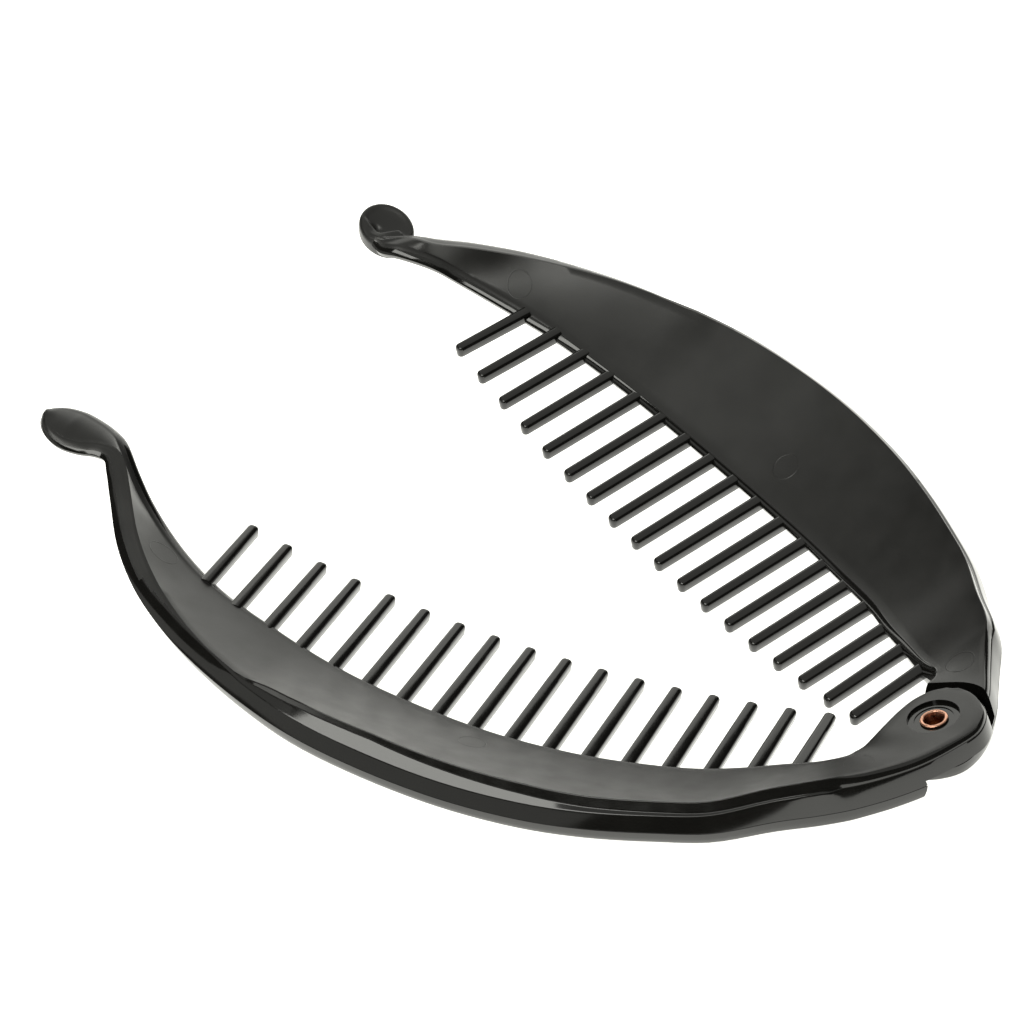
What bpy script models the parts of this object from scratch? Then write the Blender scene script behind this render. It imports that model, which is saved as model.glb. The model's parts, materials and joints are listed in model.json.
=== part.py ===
"""French hair clip, lying open: two comb halves of black plastic, one mirrored to the other,
joined at one end by a hollow metal eyelet on which they turn.

Every length below is in millimetres. Each half is drawn in its own frame: u runs from the
eyelet along the closed clip to its free end, v runs outward from the middle line of the
closed clip, z runs up. The zero point is the middle of the eyelet's top lip.
"""

import math

import bmesh
import bpy
import numpy as np
from mathutils import Matrix, Vector

MM = 0.001

# The tooth spacing is the measure that every other length follows.
TOOTH_PITCH = 5.5

# The hinge axis leans towards the free end by this angle, in degrees.
AXIS_LEAN = 17.9
# Each half is turned outward from the closed clip by this angle, in degrees.
HALF_OPEN = 15.4

# How the open clip lies on the floor, on the tips of three teeth: its turn about y, then about x,
# in degrees, and where the middle of the eyelet's top lip then is.
LIE_PITCH = -4.298
LIE_ROLL = 0.063
LIE_PLACE = (-61.302, -0.001, 12.233)

# The band that each half is made of, drawn as the two edges of its top face.
# The first rows go round the ear. They are given across the axis: (e, v, height up the axis).
EAR_COLUMNS = ("inner_e", "inner_v", "inner_c", "outer_e", "outer_v", "outer_c")
EAR_ROWS = {
    "comb_front": (
        (0.5, -6.3, 0.6, -1.4, -6.6, 0.0),
        (2.4, -5.3, 0.6, -3.4, -5.8, 0.0),
        (4.1, -3.3, 0.6, -5.5, -3.8, 0.0),
        (5.2, -0.7, 0.6, -6.8, -1.3, 0.0),
        (5.9, 1.8, 0.6, -6.9, 1.9, 0.0),
        (6.5, 3.9, 0.5, -4.9, 5.4, 0.0),
        (7.6, 6.0, -0.1, -1.8, 9.1, -0.1),
        (8.6, 6.9, -0.4, 1.6, 11.9, -0.1),
        (9.7, 7.6, -0.7, 5.0, 14.6, 0.3),
    ),
    "comb_back": (
        (0.5, -6.3, 0.6, -1.4, -6.8, 0.0),
        (2.4, -5.3, 0.6, -3.6, -6.0, 0.0),
        (4.1, -3.3, 0.6, -5.6, -4.0, 0.0),
        (5.2, -0.7, 0.6, -6.6, -1.4, 0.0),
        (5.9, 1.8, 0.6, -6.1, 1.6, 0.0),
        (6.5, 3.9, 0.5, -4.5, 4.7, 0.0),
        (7.6, 6.0, -0.1, -1.5, 8.2, -0.1),
        (8.6, 6.9, -0.4, 1.9, 11.2, -0.1),
        (9.7, 7.6, -0.7, 5.2, 14.2, 0.3),
    ),
}
# The other rows run along the comb and into the arm.
BAND_COLUMNS = ("inner_u", "inner_v", "inner_z", "outer_u", "outer_v", "outer_z")
BAND_ROWS = (
    (12.1, 8.2, -5.4, 8.7, 17.3, -1.6),
    (16.5, 9.3, -6.9, 14.0, 20.1, -2.9),
    (22.0, 10.7, -8.8, 20.9, 24.1, -4.9),
    (27.5, 12.2, -10.1, 27.5, 26.6, -5.7),
    (35.8, 13.4, -11.7, 35.8, 29.2, -6.5),
    (44.0, 14.3, -12.8, 44.0, 31.0, -7.0),
    (55.0, 14.8, -13.7, 55.0, 32.1, -7.3),
    (66.0, 14.6, -13.8, 66.0, 31.8, -7.4),
    (77.0, 13.9, -13.3, 77.5, 30.2, -7.4),
    (85.3, 12.9, -12.4, 86.9, 27.5, -7.1),
    (93.5, 11.4, -11.2, 96.3, 23.9, -6.5),
    (99.0, 10.2, -10.3, 102.3, 20.9, -5.9),
    (104.5, 8.5, -9.1, 108.2, 17.1, -5.0),
    (110.0, 6.3, -7.3, 113.3, 12.5, -3.5),
    (115.5, 3.5, -4.7, 117.7, 7.1, -1.5),
    (119.0, 1.2, -2.5, 120.5, 3.7, -0.6),
)
# The last rows differ. The front arm swells into a high round tab, the back arm ends as a ridge
# on top of a low one.
TIP_ROWS = {
    "comb_front": (
        (122.6, -1.7, -0.8, 122.6, 2.2, -0.35),
        (125.2, -3.0, -0.75, 125.0, 2.2, -0.6),
        (127.6, -3.6, -0.75, 127.4, 3.2, -0.75),
        (130.0, -3.7, -0.6, 130.0, 3.75, -0.65),
        (132.0, -3.2, -0.25, 132.0, 3.3, -0.25),
        (133.4, -2.3, 0.05, 133.4, 2.4, 0.05),
        (134.3, -1.2, 0.3, 134.3, 1.3, 0.3),
        (134.6, -0.5, 0.4, 134.6, 0.5, 0.4),
    ),
    "comb_back": (
        (123.2, -2.0, -0.8, 123.6, 2.3, -0.6),
        (126.0, -3.4, -0.9, 126.0, 0.9, -0.7),
        (127.9, -3.5, -0.5, 127.7, -1.6, -0.4),
    ),
}

# Heights of the two walls, how far the outer one leans out, and how far its foot tucks back in
# from there.
WALL_AT = (0.0, 6.0, 9.0, 12.0, 16.5, 24.0, 60.0, 77.0, 88.0, 99.0, 110.0, 119.0, 124.0, 128.0, 134.0)
INNER_WALL = (5.4, 5.4, 4.6, 3.8, 2.8, 2.1, 1.9, 1.9, 1.9, 1.9, 2.0, 2.1, 2.1, 1.9, 1.7)
OUTER_WALL = (4.8, 4.8, 5.2, 5.35, 4.85, 4.35, 3.9, 4.15, 4.1, 3.75, 2.9, 2.1, 1.9, 1.9, 1.7)
OUTER_LEAN = (0.2, 0.2, 0.5, 0.85, 1.2, 1.4, 1.4, 1.45, 1.5, 1.55, 1.85, 1.6, 0.8, 0.4, 0.2)
FOOT_TUCK = (0.4, 0.4, 0.35, 0.3, 0.3, 0.3, 0.2, 0.3, 0.4, 0.5, 0.6, 0.5, 0.3, 0.3, 0.3)
# The share of the outer wall's height that lies above its widest line.
WIDEST_AT = (12.0, 24.0, 77.0, 99.0)
WIDEST = (0.56, 0.49, 0.49, 0.56)
# The inner wall from its foot up: (distance out of the edge, share of the wall's height).
INNER_PROFILE_COLUMNS = ("out", "drop")
INNER_PROFILE = ((-0.5, 1.0), (0.25, 0.86), (0.5, 0.47))
# The step outside the comb face. Where SHARP is 0 it is a rounded shoulder, where 1 a clean step.
STEP_AT = (6.0, 7.5, 9.0, 10.2, 11.4, 16.5, 27.5, 36.0, 44.0, 55.0, 66.0, 71.5, 77.0, 81.5, 85.3, 86.8)
STEP_HEIGHT = (0.6, 0.8, 1.1, 1.3, 1.4, 1.43, 1.45, 1.6, 2.0, 2.13, 2.13, 1.92, 1.65, 1.2, 0.38, 0.05)
STEP_WIDTH = (0.6, 0.9, 0.9, 0.8, 0.4, 0.37, 0.55, 0.72, 1.05, 1.3, 1.48, 1.41, 1.3, 1.0, 0.32, 0.05)
STEP_SHARP = (0.0, 0.0, 0.0, 0.0, 1.0, 1.0, 1.0, 1.0, 1.0, 1.0, 1.0, 1.0, 1.0, 1.0, 1.0, 1.0)
# The share of the step that falls steeply. The rest is the sloping ledge outside it.
STEEP = (0.0, 0.0, 0.0, 0.0, 1.0, 1.0, 0.97, 0.9, 0.78, 0.65, 0.53, 0.48, 0.42, 0.35, 0.3, 0.3)
# How far the face dips between its two edges. The front tab is domed instead.
DISH_AT = (8.0, 24.0, 104.0, 118.0, 124.0, 130.0, 134.6)
DISH = {
    "comb_front": (0.0, 0.35, 0.35, 0.1, -0.15, -0.5, -0.1),
    "comb_back": (0.0, 0.35, 0.35, 0.1, 0.0, 0.0, 0.0),
}
# Width of the chamfer on the face's two edges.
CHAMFER_AT = (100.0, 120.0, 127.0, 134.6)
CHAMFER = (0.35, 0.4, 0.6, 0.4)

# How many teeth each half has, and where the one nearest its free end is.
TEETH_COLUMNS = ("count", "first_u")
TEETH = {"comb_front": (17, 102.9), "comb_back": (18, 105.5)}
TOOTH_WIDTH = 1.8
TOOTH_ROOT_WIDTH = 2.1
TOOTH_HEIGHT = 1.9
TOOTH_END_V = -4.0
TOOTH_ROUND = 0.22
# Heights of the teeth's tops at their free ends, and how far their roots lie below the face.
TOOTH_TOP_AT = (14.0, 37.0, 59.0, 81.0, 105.6)
TOOTH_TOP_Z = (-8.0, -12.9, -14.7, -13.7, -8.6)
TOOTH_DROP_AT = (12.0, 30.0, 66.0, 90.0, 106.0)
TOOTH_DROP = (1.0, 0.7, 0.05, 0.0, -0.3)

# The ears. Heights are along the hinge axis.
EAR_TOP = 0.6
EAR_BOTTOM = -4.8
LAP_FRONT = -2.3
LAP_BACK = -2.6
BACK_POCKET_RADIUS = 7.8
FRONT_CUT_RADIUS = 9.6
# The round recess of the eyelet, in steps: (radius, depth below the ear's face).
RECESS_COLUMNS = ("radius", "depth")
RECESS_STEPS = ((3.5, 0.48), (2.65, 0.6))
BORE_RADIUS = 1.6

# The hollow eyelet, as a profile to be turned: (distance from the axis, height along it).
EYELET_COLUMNS = ("radius", "height")
EYELET_PROFILE = (
    (1.22, -4.0),
    (1.22, -0.3),
    (1.32, 0.1),
    (1.52, 0.34),
    (1.76, 0.34),
    (1.88, 0.2),
    (1.86, 0.04),
    (1.52, 0.04),
    (1.52, -4.24),
    (1.86, -4.24),
    (1.88, -4.4),
    (1.76, -4.54),
    (1.52, -4.54),
    (1.32, -4.3),
)
EYELET_STEPS = 40

# Round finger tab at the back half's free end.
TAB_PLACE = (129.8, -0.1, -4.0)
TAB_SIZE = (9.7, 8.0, 2.7)
TAB_TILT = 13.0
# The arms rise and fall a little, so that one tab passes over the other.
LIFT_FROM = 99.0
LIFT_FULL = 129.8
LIFT_AT_TAB = {"comb_front": 2.15, "comb_back": -2.15}

SIDE = {"comb_front": 1.0, "comb_back": -1.0}

LEAN = math.radians(AXIS_LEAN)
AXIS = Vector((math.sin(LEAN), 0.0, math.cos(LEAN)))
ACROSS = Vector((math.cos(LEAN), 0.0, -math.sin(LEAN)))


def clear_scene():
    for item in list(bpy.data.objects):
        bpy.data.objects.remove(item, do_unlink=True)
    for group in list(bpy.data.collections):
        bpy.data.collections.remove(group)


def make_collection(name):
    group = bpy.data.collections.new(name)
    bpy.context.scene.collection.children.link(group)
    return group


def material(name, colour, metallic, roughness):
    made = bpy.data.materials.new(name)
    made.use_nodes = True
    shader = made.node_tree.nodes["Principled BSDF"]
    shader.inputs["Base Color"].default_value = (*colour, 1.0)
    shader.inputs["Metallic"].default_value = metallic
    shader.inputs["Roughness"].default_value = roughness
    made.diffuse_color = (*colour, 1.0)
    return made


def smooth_curve(rows, per_row):
    """Points on a smooth curve through every row, with per_row steps between two rows."""
    rows = np.array(rows, float)
    gaps = np.linalg.norm(np.diff(rows, axis=0), axis=1) ** 0.5
    knots = np.concatenate([[0.0], np.cumsum(gaps)])
    slopes = np.gradient(rows, knots, axis=0, edge_order=1)
    points = []
    for i in range(len(rows) - 1):
        span = knots[i + 1] - knots[i]
        for step in range(per_row):
            t = step / per_row
            points.append(
                (2 * t**3 - 3 * t**2 + 1) * rows[i]
                + (t**3 - 2 * t**2 + t) * span * slopes[i]
                + (3 * t**2 - 2 * t**3) * rows[i + 1]
                + (t**3 - t**2) * span * slopes[i + 1]
            )
    points.append(rows[-1])
    return np.array(points)


def from_axis(e, v, c):
    """A point given across the hinge axis, as (u, v, z)."""
    place = ACROSS * e + AXIS * c
    return (place.x, v, place.z)


def lift(name, u):
    """How far the arm has risen or fallen at u."""
    share = max(u - LIFT_FROM, 0.0) / (LIFT_FULL - LIFT_FROM)
    return LIFT_AT_TAB[name] * min(share, 1.0) ** 1.8


def band_edges(name):
    """The two edges of the top face, as arrays of points from the ear to the tip."""
    rows = [from_axis(*row[:3]) + from_axis(*row[3:]) for row in EAR_ROWS[name]]
    rows += list(BAND_ROWS)
    rows += list(TIP_ROWS[name])
    points = smooth_curve(rows, 2)
    for row in points:
        row[2] += lift(name, row[0])
        row[5] += lift(name, row[3])
    return points[:, :3], points[:, 3:]


def outward(edge, sign):
    """The direction that points out of the band at each point of an edge, seen from above."""
    tangent = np.gradient(edge[:, :2], axis=0)
    tangent /= np.linalg.norm(tangent, axis=1)[:, None]
    return np.stack([sign * tangent[:, 1], -sign * tangent[:, 0], np.zeros(len(edge))], axis=1)


def section(name, inner, outer, inner_out, outer_out, down):
    """The closed outline of the band at one place."""
    u = inner[0]
    dish = np.interp(u, DISH_AT, DISH[name])
    chamfer = min(np.interp(u, CHAMFER_AT, CHAMFER), 0.3 * np.linalg.norm(outer - inner))
    inner_wall = np.interp(u, WALL_AT, INNER_WALL)
    outer_wall = np.interp(u, WALL_AT, OUTER_WALL)
    lean = np.interp(u, WALL_AT, OUTER_LEAN)
    foot = lean - np.interp(u, WALL_AT, FOOT_TUCK)
    height = np.interp(u, STEP_AT, STEP_HEIGHT)
    width = np.interp(u, STEP_AT, STEP_WIDTH)
    sharp = np.interp(u, STEP_AT, STEP_SHARP)
    steep = np.interp(u, STEP_AT, STEEP)
    ring = []
    for out, drop in INNER_PROFILE:
        ring.append(inner + inner_out * out + down * (drop * inner_wall))
    ring.append(inner + down * chamfer)
    start = inner - inner_out * chamfer
    end = outer - outer_out * width - down * height
    ring.append(start)
    for share in (0.25, 0.5, 0.75):
        ring.append(start + (end - start) * share + down * dish * 4.0 * share * (1.0 - share))
    ring.append(end)
    foot_rise = height * (0.75 * (1.0 - sharp) + sharp * (1.0 - steep))
    in_step = (width * (0.55 + 0.39 * sharp), foot_rise + 0.05)
    on_rim = (min(0.3, width * 0.3), height * 0.3 * (1.0 - sharp))
    if u > STEP_AT[-1]:
        on_rim = (chamfer * 0.9, 0.0)
        in_step = (chamfer, 0.0)
        ring[-1] = outer - outer_out * (chamfer * 1.1)
    for inset, rise in (in_step, on_rim):
        ring.append(outer - outer_out * inset - down * rise)
    ring.append(outer + down * chamfer + outer_out * 0.05)
    widest = np.interp(u, WIDEST_AT, WIDEST)
    for out, drop in ((lean * 0.62, widest * 0.46), (lean, widest), (foot, 0.92), (foot - 0.7, 1.0)):
        ring.append(outer + outer_out * out + down * (drop * outer_wall))
    first, last = ring[0], ring[-1]
    for share in (0.67, 0.33):
        ring.append(first + (last - first) * share)
    return ring


def to_object(name, mesh_data, group, shade=None):
    mesh = bpy.data.meshes.new(name)
    bmesh.ops.recalc_face_normals(mesh_data, faces=mesh_data.faces)
    mesh_data.to_mesh(mesh)
    mesh_data.free()
    made = bpy.data.objects.new(name, mesh)
    group.objects.link(made)
    if shade:
        mesh.materials.append(shade)
    return made


def helper(name, mesh_data, group):
    made = to_object(name, mesh_data, group)
    made.hide_render = True
    made.display_type = "WIRE"
    return made


def band_mesh(name):
    inner, outer = band_edges(name)
    inner_out = outward(inner, 1.0)
    outer_out = outward(outer, -1.0)
    data = bmesh.new()
    rings = []
    for i in range(len(inner)):
        share = min(1.0, max(0.0, (inner[i][0] - 10.0) / 14.0))
        down = -np.array(AXIS.lerp(Vector((0.0, 0.0, 1.0)), share).normalized())
        ring = section(name, inner[i], outer[i], inner_out[i], outer_out[i], down)
        rings.append([data.verts.new((p[0] * MM, SIDE[name] * p[1] * MM, p[2] * MM)) for p in ring])
    count = len(rings[0])
    for a, b in zip(rings, rings[1:]):
        for k in range(count):
            n = (k + 1) % count
            data.faces.new((a[k], a[n], b[n], b[k]))
    data.faces.new(rings[0])
    data.faces.new(reversed(rings[-1]))
    return data, inner


def tooth_mesh(name, inner):
    """All teeth of one half: each is a cube drawn out, narrowed and rounded at its free end."""
    count, first_u = TEETH[name]
    order = np.argsort(inner[:, 0])
    tips = np.polyfit(TOOTH_TOP_AT, TOOTH_TOP_Z, 4)
    data = bmesh.new()
    for i in range(count):
        u = first_u - i * TOOTH_PITCH
        root_v = np.interp(u, inner[order, 0], inner[order, 1]) + 0.9
        root_z = np.interp(u, inner[order, 0], inner[order, 2]) - np.interp(u, TOOTH_DROP_AT, TOOTH_DROP)
        end_z = np.polyval(tips, u)
        made = bmesh.ops.create_cube(data, size=1.0)["verts"]
        for vert in made:
            at_root = vert.co.y > 0.0
            wide = TOOTH_ROOT_WIDTH if at_root else TOOTH_WIDTH
            narrow = 0.8 if vert.co.z < 0.0 else 1.0
            top = root_z if at_root else end_z
            low = TOOTH_HEIGHT if vert.co.z < 0.0 else 0.0
            end = root_v if at_root else TOOTH_END_V
            vert.co = Vector((u + vert.co.x * wide * narrow, end, top - low))
        edges = {e for v in made for e in v.link_edges}
        ends = [e for e in edges if is_upright(e) and e.verts[0].co.y < 0.0]
        bmesh.ops.bevel(data, geom=ends, offset=TOOTH_WIDTH * 0.36, segments=3, profile=0.5,
                        affect="EDGES")
        rims = [e for e in data.edges if is_tooth_rim(e, u, root_v, end_z)]
        bmesh.ops.bevel(data, geom=rims, offset=TOOTH_ROUND, segments=1, profile=0.5, affect="EDGES")
    to_side(data, name)
    return data


def is_upright(edge):
    run = edge.verts[0].co - edge.verts[1].co
    return abs(run.z) > 1.0 and abs(run.y) < 0.01


def is_tooth_rim(edge, u, root_v, end_z):
    """True for the top edges of the tooth at u, but not for the one inside the band."""
    points = [v.co for v in edge.verts]
    if max(abs(p.x - u) for p in points) > TOOTH_PITCH / 2:
        return False
    if all(p.y > root_v - 0.01 for p in points) or min(p.z for p in points) < end_z - 0.5:
        return False
    return edge.calc_face_angle(0.0) > 1.2 and not is_upright(edge)


def to_side(data, name):
    """From the half frame in millimetres to metres, mirrored for the back half."""
    for vert in data.verts:
        vert.co = Vector((vert.co.x * MM, SIDE[name] * vert.co.y * MM, vert.co.z * MM))


def tab_mesh(name):
    """The low finger tab: a flat drum with rounded rims, drawn out along the band."""
    data = bmesh.new()
    bmesh.ops.create_cone(data, cap_ends=True, segments=32, radius1=0.5, radius2=0.5, depth=1.0)
    bmesh.ops.scale(data, verts=data.verts, vec=Vector(TAB_SIZE))
    rims = [e for e in data.edges if abs(e.verts[0].co.z - e.verts[1].co.z) < 0.01]
    bmesh.ops.bevel(data, geom=rims, offset=0.75, segments=3, profile=0.5, affect="EDGES")
    turn = Matrix.Rotation(math.radians(-TAB_TILT), 4, "Y")
    place = Matrix.Translation(TAB_PLACE)
    bmesh.ops.transform(data, matrix=place @ turn, verts=data.verts)
    to_side(data, name)
    return data


def drum(radius, low, high, segments=64, at=(0.0, 0.0)):
    """A cylinder about the hinge axis, between two heights along it."""
    data = bmesh.new()
    bmesh.ops.create_cone(data, cap_ends=True, segments=segments, radius1=radius * MM,
                          radius2=radius * MM, depth=(high - low) * MM)
    move = Matrix.Translation((at[0] * MM, at[1] * MM, (low + high) / 2 * MM))
    turn = Matrix.Rotation(LEAN, 4, "Y")
    bmesh.ops.transform(data, matrix=turn @ move, verts=data.verts)
    return data


def boolean(target, tool, operation):
    step = target.modifiers.new(tool.name, "BOOLEAN")
    step.operation = operation
    step.solver = "EXACT"
    step.object = tool


def build_half(name, group, helpers, shade):
    data, inner = band_mesh(name)
    half = to_object(name, data, group, shade)
    tools = [(helper(name + "_teeth", tooth_mesh(name, inner), helpers), "UNION")]
    if name == "comb_front":
        lap = drum(FRONT_CUT_RADIUS, -12.0, LAP_FRONT)
        steps = [drum(radius, EAR_TOP - depth, 9.0, 48) for radius, depth in RECESS_STEPS]
    else:
        tools.append((helper(name + "_tab", tab_mesh(name), helpers), "UNION"))
        lap = drum(BACK_POCKET_RADIUS, LAP_BACK, 9.0)
        steps = [drum(radius, -9.0, EAR_BOTTOM + depth, 48) for radius, depth in RECESS_STEPS]
    tools.append((helper(name + "_lap_cut", lap, helpers), "DIFFERENCE"))
    tools.append((helper(name + "_bore", drum(BORE_RADIUS, -9.0, 9.0, 40), helpers), "DIFFERENCE"))
    for number, step in enumerate(steps):
        tools.append((helper("%s_recess_%d" % (name, number), step, helpers), "DIFFERENCE"))
    for tool, operation in tools:
        boolean(half, tool, operation)
        tool.parent = half
    return half


def build_eyelet(group, shade):
    """The eyelet is its profile turned about the hinge axis by a Screw modifier."""
    data = bmesh.new()
    verts = [data.verts.new((radius * MM, 0.0, height * MM)) for radius, height in EYELET_PROFILE]
    for i in range(len(verts)):
        data.edges.new((verts[i], verts[(i + 1) % len(verts)]))
    made = to_object("eyelet", data, group, shade)
    turned = made.modifiers.new("turn", "SCREW")
    turned.axis = "Z"
    turned.steps = EYELET_STEPS
    turned.render_steps = EYELET_STEPS
    turned.use_merge_vertices = True
    turned.merge_threshold = 0.000001
    turned.use_normal_calculate = True
    return made


clear_scene()
clip = make_collection("french_hair_clip")
cutters = make_collection("cutters")
plastic = material("black_plastic", (0.03, 0.03, 0.028), 0.0, 0.4)
copper = material("copper_eyelet", (0.45, 0.27, 0.18), 1.0, 0.3)

lie = (Matrix.Translation(Vector(LIE_PLACE) * MM)
       @ Matrix.Rotation(math.radians(LIE_ROLL), 4, "X")
       @ Matrix.Rotation(math.radians(LIE_PITCH), 4, "Y"))
for name in ("comb_front", "comb_back"):
    half = build_half(name, clip, cutters, plastic)
    half.matrix_world = lie @ Matrix.Rotation(math.radians(SIDE[name] * HALF_OPEN), 4, AXIS)
eyelet = build_eyelet(clip, copper)
eyelet.matrix_world = lie @ Matrix.Rotation(LEAN, 4, "Y")
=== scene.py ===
# %% [markdown]
# # A long hair clip, lying open
# This lesson dresses the solid model of a black plastic hair clip for a photograph. The clip is
# made of a front half and a back half, each a curved band with a row of teeth, and of one small
# metal eyelet that they turn on. We load the solids as a fixed frame first, because every piece
# made here has to sit exactly where the solids are.

# %% Load the frame
import json
import math

import bmesh
import bpy
import numpy as np
from mathutils import Matrix, Vector


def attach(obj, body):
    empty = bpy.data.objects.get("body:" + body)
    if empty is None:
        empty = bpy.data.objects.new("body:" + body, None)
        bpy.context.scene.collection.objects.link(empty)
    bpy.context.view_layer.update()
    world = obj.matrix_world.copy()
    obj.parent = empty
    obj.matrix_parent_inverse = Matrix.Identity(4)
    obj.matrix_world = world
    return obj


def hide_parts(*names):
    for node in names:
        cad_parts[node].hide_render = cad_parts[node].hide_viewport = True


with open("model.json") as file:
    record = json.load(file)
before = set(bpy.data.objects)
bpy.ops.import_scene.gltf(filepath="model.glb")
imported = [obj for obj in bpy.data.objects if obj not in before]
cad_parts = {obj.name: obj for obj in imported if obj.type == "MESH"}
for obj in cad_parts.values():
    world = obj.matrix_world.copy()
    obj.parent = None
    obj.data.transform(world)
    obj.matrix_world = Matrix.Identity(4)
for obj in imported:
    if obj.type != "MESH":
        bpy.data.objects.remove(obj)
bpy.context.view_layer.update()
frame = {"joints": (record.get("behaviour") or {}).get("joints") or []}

# %% [markdown]
# ## Where the clip lies
# Each half is easiest to draw in its own frame, in millimetres: u runs from the eyelet to the free
# end, v runs outward from the middle of the closed clip, and z runs up. The clip rests on the tips
# of a few teeth, so the whole drawing is tipped a little and lifted. One matrix per half turns that
# drawing into the place where the solid of the half lies. The back half is the mirror image.

# %% Frames of the two halves
MM = 0.001
AXIS_LEAN = math.radians(17.9)
HALF_OPEN = math.radians(15.4)
LIE_PITCH, LIE_ROLL = math.radians(-4.298), math.radians(0.063)
LIE_PLACE = Vector((-61.302, -0.001, 12.233)) * MM
SIDE = {"front": 1.0, "back": -1.0}
AXIS = Vector((math.sin(AXIS_LEAN), 0.0, math.cos(AXIS_LEAN)))
ACROSS = Vector((math.cos(AXIS_LEAN), 0.0, -math.sin(AXIS_LEAN)))

lie = (Matrix.Translation(LIE_PLACE) @ Matrix.Rotation(LIE_ROLL, 4, "X")
       @ Matrix.Rotation(LIE_PITCH, 4, "Y"))


def half_frame(half):
    """From the half's own drawing, in metres, to its place in the scene."""
    mirror = Matrix.Diagonal((1.0, SIDE[half], 1.0, 1.0))
    return lie @ Matrix.Rotation(SIDE[half] * HALF_OPEN, 4, AXIS) @ mirror


joint = frame["joints"][0]
print("hinge is", round((Vector(joint["pos_m"]) - LIE_PLACE).length * 1000, 3), "mm from the drawing's zero")

# %% [markdown]
# ## Small helpers
# An operator in Blender acts on everything that is selected, and a freshly loaded model is
# selected all over. So we clear the selection before each step, and select by code what the next
# operator should change.

# %% Selecting and finishing
MERGE_WITHIN, MERGE_FINE = 0.00001, 0.0000001


def only(piece):
    """Select this piece alone, in object mode."""
    if bpy.context.mode != "OBJECT":
        bpy.ops.object.mode_set(mode="OBJECT")
    bpy.ops.object.select_all(action="DESELECT")
    piece.select_set(True)
    bpy.context.view_layer.objects.active = piece
    return piece


def started(name):
    """Name the primitive that was just added."""
    piece = bpy.context.view_layer.objects.active
    piece.name = name
    piece.data.name = name
    return only(piece)


def clear_selection():
    """Leave nothing selected, in object mode."""
    if bpy.context.mode != "OBJECT":
        bpy.ops.object.mode_set(mode="OBJECT")
    bpy.ops.object.select_all(action="DESELECT")


def pick(piece, kind, wanted):
    """In edit mode, select the edges or faces that wanted() is true for, and nothing else."""
    bpy.ops.mesh.select_mode(type=kind)
    bpy.ops.mesh.select_all(action="DESELECT")
    shape = bmesh.from_edit_mesh(piece.data)
    for part in shape.edges if kind == "EDGE" else shape.faces:
        if wanted(part):
            part.select_set(True)
    bmesh.update_edit_mesh(piece.data)


def place_points(piece, points):
    """Put every point of a mesh at its place, in millimetres."""
    flat = np.asarray(points, float).reshape(-1) * MM
    if len(flat) != 3 * len(piece.data.vertices):
        raise ValueError(piece.name + " has another number of points than its table")
    piece.data.vertices.foreach_set("co", flat)
    piece.data.update()


def close_up(piece, distance=MERGE_WITHIN, fill=False):
    """Merge doubled points, close open ends if asked, and make all faces point outwards."""
    only(piece)
    bpy.ops.object.mode_set(mode="EDIT")
    bpy.ops.mesh.select_all(action="SELECT")
    bpy.ops.mesh.remove_doubles(threshold=distance)
    if fill:
        bpy.ops.mesh.select_all(action="DESELECT")
        bpy.ops.mesh.select_mode(type="EDGE")
        bpy.ops.mesh.select_non_manifold()
        bpy.ops.mesh.fill(use_beauty=False)
        bpy.ops.mesh.select_mode(type="VERT")
    bpy.ops.mesh.select_all(action="SELECT")
    bpy.ops.mesh.normals_make_consistent(inside=False)
    bpy.ops.object.mode_set(mode="OBJECT")


def carve(piece, tool):
    """Cut one mesh with another and throw the tool away."""
    only(piece)
    cut = piece.modifiers.new("cut", "BOOLEAN")
    cut.operation = "DIFFERENCE"
    cut.solver = "EXACT"
    cut.object = tool
    bpy.ops.object.modifier_apply(modifier=cut.name)
    bpy.data.objects.remove(tool, do_unlink=True)


def settle(piece, half, smooth=40.0):
    """Bring a finished piece from its half's drawing to the scene and let it ride on its body."""
    piece.data.transform(half_frame(half))
    close_up(piece)
    only(piece)
    bpy.ops.object.shade_smooth_by_angle(angle=math.radians(smooth))
    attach(piece, half + "_half")
    print(piece.name, len(piece.data.polygons), "faces")
    return piece


# %% [markdown]
# ## Black plastic
# The clip is moulded from black plastic in one shot, yet it shows two finishes. The wide faces
# come from a part of the mould that was left slightly matt, so they look like dark slate. The
# walls, the ledge and the teeth come from polished steel and mirror the room. Both share one
# colour. A broad, very weak noise makes the mirror image waver as it does on thin moulded walls, a
# fine noise gives the satin its grain, and slow changes of roughness stand for handling. The
# patterns read object coordinates, so they stay on the piece when the clip turns.

# %% Plastic materials
def shader_of(name):
    """A new material with its node tree's parts at hand."""
    made = bpy.data.materials.new(name)
    made.use_nodes = True
    return made, made.node_tree.nodes, made.node_tree.links, made.node_tree.nodes["Principled BSDF"]


def noise(nodes, links, scale, detail=2.0):
    """A noise pattern on object coordinates. The scale is in waves per metre."""
    place = nodes.new("ShaderNodeTexCoord")
    wave = nodes.new("ShaderNodeTexNoise")
    wave.inputs["Scale"].default_value = scale
    wave.inputs["Detail"].default_value = detail
    links.new(place.outputs["Object"], wave.inputs["Vector"])
    return wave.outputs["Fac"]


def between(nodes, links, factor, low, high):
    """Turn a pattern of 0 to 1 into a range of values."""
    scale = nodes.new("ShaderNodeMapRange")
    scale.inputs["From Min"].default_value = 0.3
    scale.inputs["From Max"].default_value = 0.7
    scale.inputs["To Min"].default_value = low
    scale.inputs["To Max"].default_value = high
    links.new(factor, scale.inputs["Value"])
    return scale.outputs["Result"]


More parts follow.
